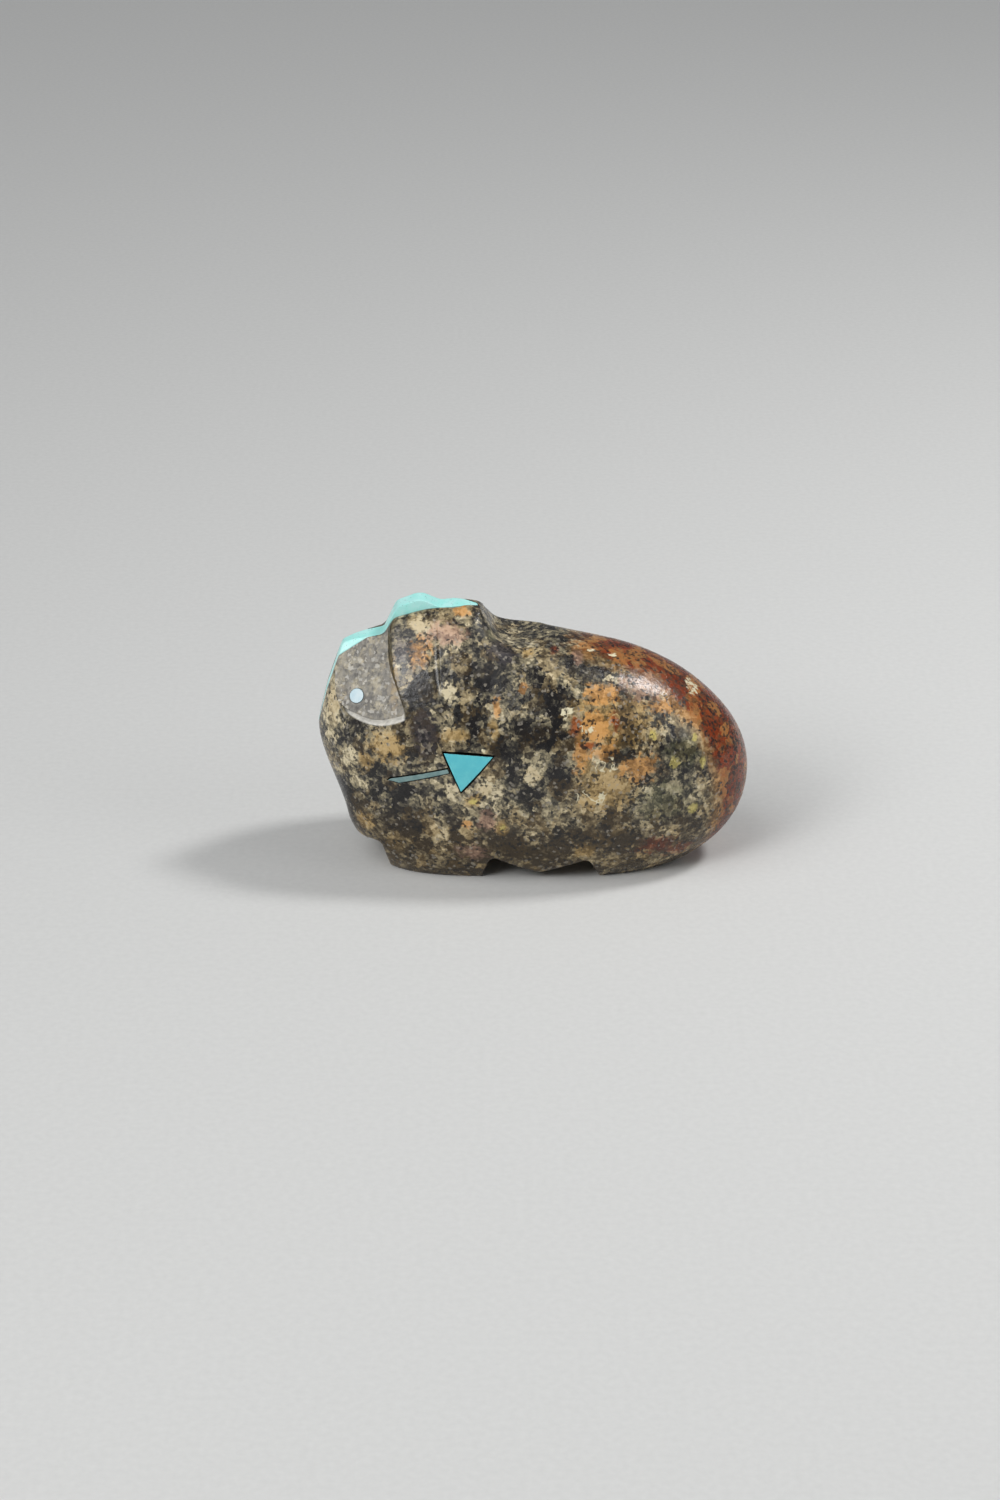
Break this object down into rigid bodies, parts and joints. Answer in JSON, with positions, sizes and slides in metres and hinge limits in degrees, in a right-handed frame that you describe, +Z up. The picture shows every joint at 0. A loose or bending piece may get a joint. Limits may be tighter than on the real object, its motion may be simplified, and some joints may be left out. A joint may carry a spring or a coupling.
{
  "type": "carved stone bison fetish",
  "caption": "Small bison carved from a polished speckled pebble, head down, with a turquoise crest, round eyes and an arrow-shaped heartline inlaid in its flank.",
  "frame": {"origin": "on the ground under the feet, at the centre of the object's box in plan", "axes": "+X from the head to the rump, so the animal faces -X; +Y to its right flank; +Z up"},
  "size_m": [0.0702, 0.0332, 0.0447],
  "materials": {
    "speckled_stone": "polished speckled granite, grey, ochre and black grains, rust-red rind over the rump",
    "turquoise": "polished light blue-green turquoise, ground flush with the stone",
    "pale_turquoise": "polished pale blue stone"
  },
  "bodies": {
    "root": {"stone_body": "speckled_stone", "crest_inlay": "turquoise", "eye_left": "pale_turquoise", "eye_right": "pale_turquoise", "heartline_arrowhead": "turquoise", "heartline_shaft": "turquoise"}
  },
  "joints": []
}
